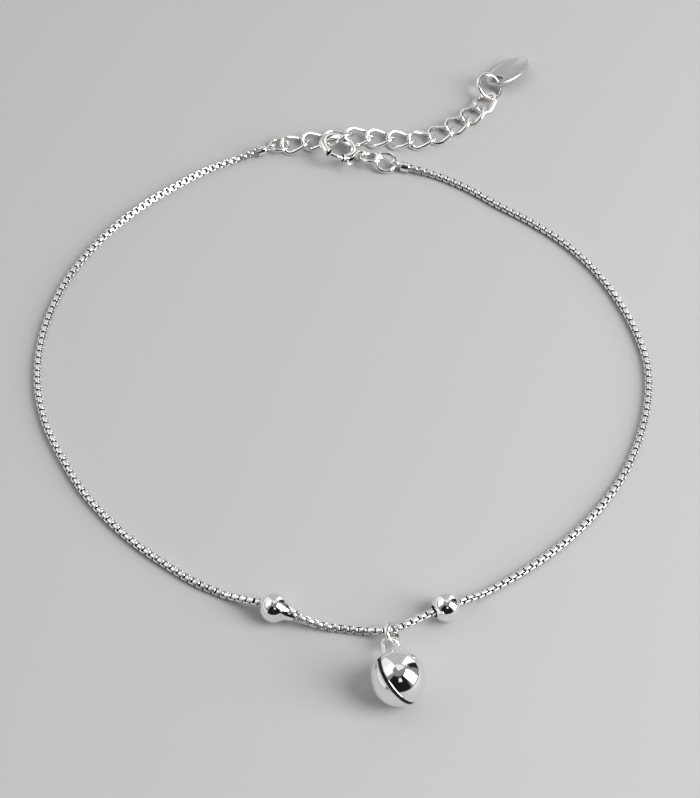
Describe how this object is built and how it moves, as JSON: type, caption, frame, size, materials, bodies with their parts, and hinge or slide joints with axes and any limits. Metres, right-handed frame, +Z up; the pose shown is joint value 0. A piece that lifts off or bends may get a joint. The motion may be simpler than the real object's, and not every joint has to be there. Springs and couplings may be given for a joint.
{
  "type": "payal anklet",
  "caption": "Silver anklet laid in a loop: fine box chain with two beads and a jingle bell, spring ring clasp and a curb extension chain with an oval end tag.",
  "frame": {"origin": "middle of the anklet's footprint, on the surface that it lies on", "axes": "+Z up from the surface, +X to the right and +Y from the bell's side to the clasp's side, as the anklet lies"},
  "size_m": [0.0704, 0.0954, 0.0057],
  "materials": {
    "polished_silver": "polished silver, fine handling marks",
    "chain_silver": "bright silver box chain",
    "pellet_steel": "dull grey ball inside the bell"
  },
  "bodies": {
    "anklet": {"box_chain": "chain_silver", "bead_right": "polished_silver", "bead_left": "polished_silver", "chain_cap_right": "polished_silver", "chain_cap_left": "polished_silver", "bell": "polished_silver", "bell_pellet": "pellet_steel", "bell_jump_ring": "polished_silver", "clasp_ring": "polished_silver", "clasp_jump_ring": "polished_silver", "chain_end_ring": "polished_silver", "extension_jump_ring": "polished_silver", "extension_link_01": "polished_silver", "extension_link_02": "polished_silver", "extension_link_03": "polished_silver", "extension_link_04": "polished_silver", "extension_link_05": "polished_silver", "extension_link_06": "polished_silver", "extension_link_07": "polished_silver", "extension_link_08": "polished_silver", "extension_link_09": "polished_silver", "extension_link_10": "polished_silver", "extension_link_11": "polished_silver", "tag_ring": "polished_silver", "tag": "polished_silver"},
    "gate": {"clasp_gate": "polished_silver"}
  },
  "joints": [
    {"name": "clasp_gate_slide", "type": "hinge", "parent": "anklet", "child": "gate", "pos_m": [-0.00061, 0.03068, 0.00174], "axis": [0.328, 0.1219, 0.9368], "range_deg": [0, 25], "stiffness_Nm_per_rad": 0.0003, "springref_deg": -28.65}
  ]
}
